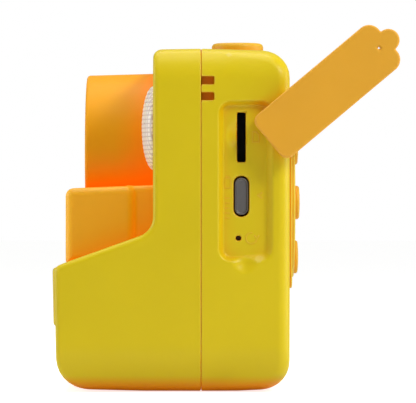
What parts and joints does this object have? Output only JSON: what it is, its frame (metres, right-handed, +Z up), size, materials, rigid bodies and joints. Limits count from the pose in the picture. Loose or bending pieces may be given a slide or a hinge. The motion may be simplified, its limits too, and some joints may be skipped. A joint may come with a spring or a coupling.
{
  "type": "kids instant-print digital camera",
  "caption": "Toy camera with a stepped body, round lens barrel, beak-like paper outlet, side port recess with a swivel cover, rear screen and a key cross.",
  "frame": {"origin": "middle of the width, on the parting line of the two shells, at the flat underside", "axes": "+Z up, -Y out of the lens, +X towards the side with the ports"},
  "size_m": [0.116, 0.0848, 0.0884],
  "materials": {
    "yellow_shell": "satin moulded ABS",
    "orange_plastic": "satin moulded ABS",
    "orange_soft": "matt soft thermoplastic",
    "dome_plastic": "translucent ribbed",
    "black_plastic": "fine grain",
    "grey_plastic": "plain moulded",
    "white_nylon": "self-coloured",
    "clear_window": "polished",
    "screen_black": "polished tinted acrylic",
    "circuit_board": "solder mask",
    "steel": "plated",
    "port_steel": "dark nickel",
    "brass": "machined",
    "rubber": "ground",
    "foil": "pouch foil",
    "thermal_paper": "coated",
    "brown_card": "wound"
  },
  "bodies": {
    "camera_body": {"front_shell": "yellow_shell", "rear_shell": "yellow_shell", "screen_frame": "yellow_shell", "beak": "orange_plastic", "lens_barrel": "orange_plastic", "eye_dome_port_side": "dome_plastic", "eye_dome_grip_side": "dome_plastic", "lens_bezel": "black_plastic", "lens_holder": "black_plastic", "lens_window": "clear_window", "lens_elements": "clear_window", "image_sensor": "black_plastic", "sensor_board": "circuit_board", "eye_light_board_port_side": "circuit_board", "eye_light_board_grip_side": "circuit_board", "shutter_switch": "black_plastic", "shutter_board": "circuit_board", "screen_window": "screen_black", "display_module": "steel", "key_board": "circuit_board", "key_switches": "steel", "main_board": "circuit_board", "usb_c_socket": "port_steel", "card_socket": "black_plastic", "reset_switch": "black_plastic", "battery": "foil", "speaker": "black_plastic", "microphone": "steel", "printer_frame": "grey_plastic", "print_head": "black_plastic", "tear_bar": "steel", "idler_axle": "steel", "motor": "steel", "paper_cradle": "grey_plastic", "roll_hubs": "grey_plastic", "paper_web": "thermal_paper", "door_hinge_pins": "steel", "shell_screws": "steel", "board_screws": "steel", "board_spacers": "brass", "processor": "black_plastic"},
    "shutter_button": {"shutter_button": "orange_plastic"},
    "key_up": {"key_up": "orange_plastic"},
    "key_down": {"key_down": "orange_plastic"},
    "key_left": {"key_left": "orange_plastic"},
    "key_right": {"key_right": "orange_plastic"},
    "key_ok": {"key_ok": "orange_plastic"},
    "port_cover": {"port_cover": "orange_soft"},
    "paper_door": {"paper_door": "yellow_shell"},
    "platen": {"platen_shaft": "steel", "platen_roller": "rubber", "platen_gear": "white_nylon"},
    "idler": {"idler_gear": "white_nylon"},
    "motor_rotor": {"motor_pinion": "brass", "motor_shaft": "steel"},
    "paper_supply": {"paper_core": "brown_card", "paper_roll": "thermal_paper"}
  },
  "joints": [
    {"name": "shutter_press", "type": "slide", "parent": "camera_body", "child": "shutter_button", "axis": [0, 0, -1], "range_m": [0, 0.001], "stiffness_N_per_m": 600, "springref_m": -0.0005},
    {"name": "key_up_press", "type": "slide", "parent": "camera_body", "child": "key_up", "axis": [0, -1, 0], "range_m": [0, 0.0006], "stiffness_N_per_m": 600, "springref_m": -0.0003},
    {"name": "key_down_press", "type": "slide", "parent": "camera_body", "child": "key_down", "axis": [0, -1, 0], "range_m": [0, 0.0006], "stiffness_N_per_m": 600, "springref_m": -0.0003},
    {"name": "key_left_press", "type": "slide", "parent": "camera_body", "child": "key_left", "axis": [0, -1, 0], "range_m": [0, 0.0006], "stiffness_N_per_m": 600, "springref_m": -0.0003},
    {"name": "key_right_press", "type": "slide", "parent": "camera_body", "child": "key_right", "axis": [0, -1, 0], "range_m": [0, 0.0006], "stiffness_N_per_m": 600, "springref_m": -0.0003},
    {"name": "key_ok_press", "type": "slide", "parent": "camera_body", "child": "key_ok", "axis": [0, -1, 0], "range_m": [0, 0.0006], "stiffness_N_per_m": 600, "springref_m": -0.0003},
    {"name": "cover_swivel", "type": "hinge", "parent": "camera_body", "child": "port_cover", "pos_m": [0.054, 0.01565, 0.0667], "axis": [1, 0, 0], "range_deg": [-130, 50]},
    {"name": "door_hinge", "type": "hinge", "parent": "camera_body", "child": "paper_door", "pos_m": [0, -0.0314, 0.0061], "axis": [1, 0, 0], "range_deg": [0, 80]},
    {"name": "platen_spin", "type": "hinge", "parent": "camera_body", "child": "platen", "pos_m": [0, -0.01095, 0.0298], "axis": [1, 0, 0], "continuous": true},
    {"name": "idler_spin", "type": "hinge", "parent": "camera_body", "child": "idler", "pos_m": [0.032, -0.00116, 0.02524], "axis": [1, 0, 0], "continuous": true},
    {"name": "motor_spin", "type": "hinge", "parent": "camera_body", "child": "motor_rotor", "pos_m": [0.032, 0.00304, 0.01796], "axis": [1, 0, 0], "continuous": true},
    {"name": "roll_spin", "type": "hinge", "parent": "camera_body", "child": "paper_supply", "pos_m": [0, -0.0195, 0.0152], "axis": [1, 0, 0], "continuous": true}
  ],
  "couplings": [
    {"joint": "idler_spin", "follows": "platen_spin", "ratio": -0.8},
    {"joint": "motor_spin", "follows": "platen_spin", "ratio": 2},
    {"joint": "roll_spin", "follows": "platen_spin", "ratio": 0.29167}
  ]
}
